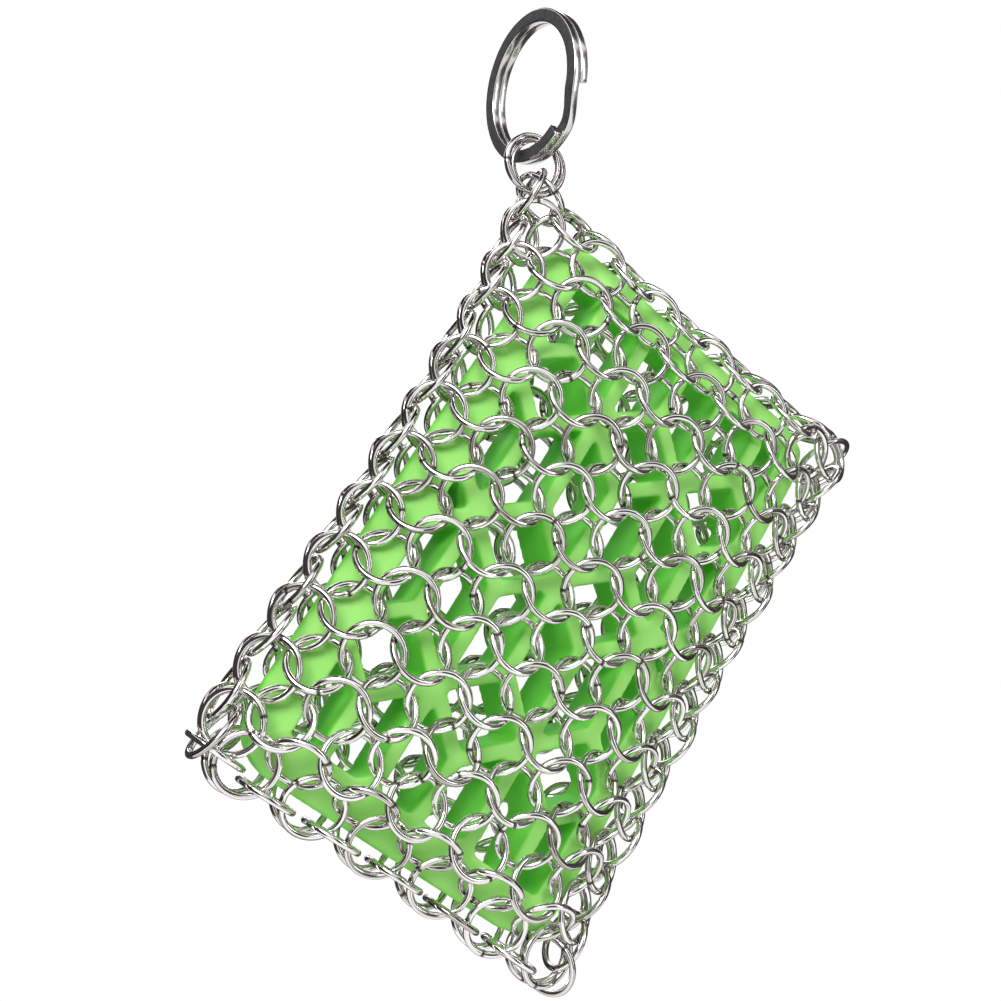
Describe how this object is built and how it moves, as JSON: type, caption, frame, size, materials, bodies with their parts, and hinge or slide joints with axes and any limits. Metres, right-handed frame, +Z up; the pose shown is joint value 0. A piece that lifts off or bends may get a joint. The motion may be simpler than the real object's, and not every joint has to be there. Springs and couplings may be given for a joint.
{
  "type": "pot scrubber",
  "caption": "Flat pot scrubber: a closed pouch of welded steel mail round a green silicone lattice core, hung by one corner from link rings and a flat split ring.",
  "frame": {"origin": "centre of the split ring, the point that a hook carries", "axes": "+Z up, with the pad hanging below by its corner; the front of the pad looks along -Y and the long edge of its lower right side runs up towards +X"},
  "size_m": [0.1215, 0.0254, 0.1619],
  "materials": {
    "mail": "polished round wire",
    "core": "satin lime green silicone",
    "split_ring": "polished flat wire"
  },
  "bodies": {
    "split_ring": {"key_ring": "split_ring"},
    "link_rings": {"front_link_ring": "mail", "back_link_ring": "mail"},
    "pad": {"front_row_01": "mail", "front_row_02": "mail", "front_row_03": "mail", "front_row_04": "mail", "front_row_05": "mail", "front_row_06": "mail", "front_row_07": "mail", "front_row_08": "mail", "front_row_09": "mail", "front_row_10": "mail", "front_row_11": "mail", "front_row_12": "mail", "back_row_01": "mail", "back_row_02": "mail", "back_row_03": "mail", "back_row_04": "mail", "back_row_05": "mail", "back_row_06": "mail", "back_row_07": "mail", "back_row_08": "mail", "back_row_09": "mail", "back_row_10": "mail", "back_row_11": "mail", "back_row_12": "mail", "lower_side_row": "mail", "upper_side_row": "mail", "lower_end_row": "mail", "upper_end_row": "mail", "silicone_core": "core"}
  },
  "joints": [
    {"name": "link_swing", "type": "hinge", "parent": "split_ring", "child": "link_rings", "pos_m": [0, 0, -0.01155], "axis": [0.1736, -0.9848, 0], "range_deg": [-45, 45]},
    {"name": "pad_swing", "type": "hinge", "parent": "link_rings", "child": "pad", "pos_m": [0, 0, -0.01805], "axis": [1, 0, 0], "range_deg": [-30, 30]}
  ]
}
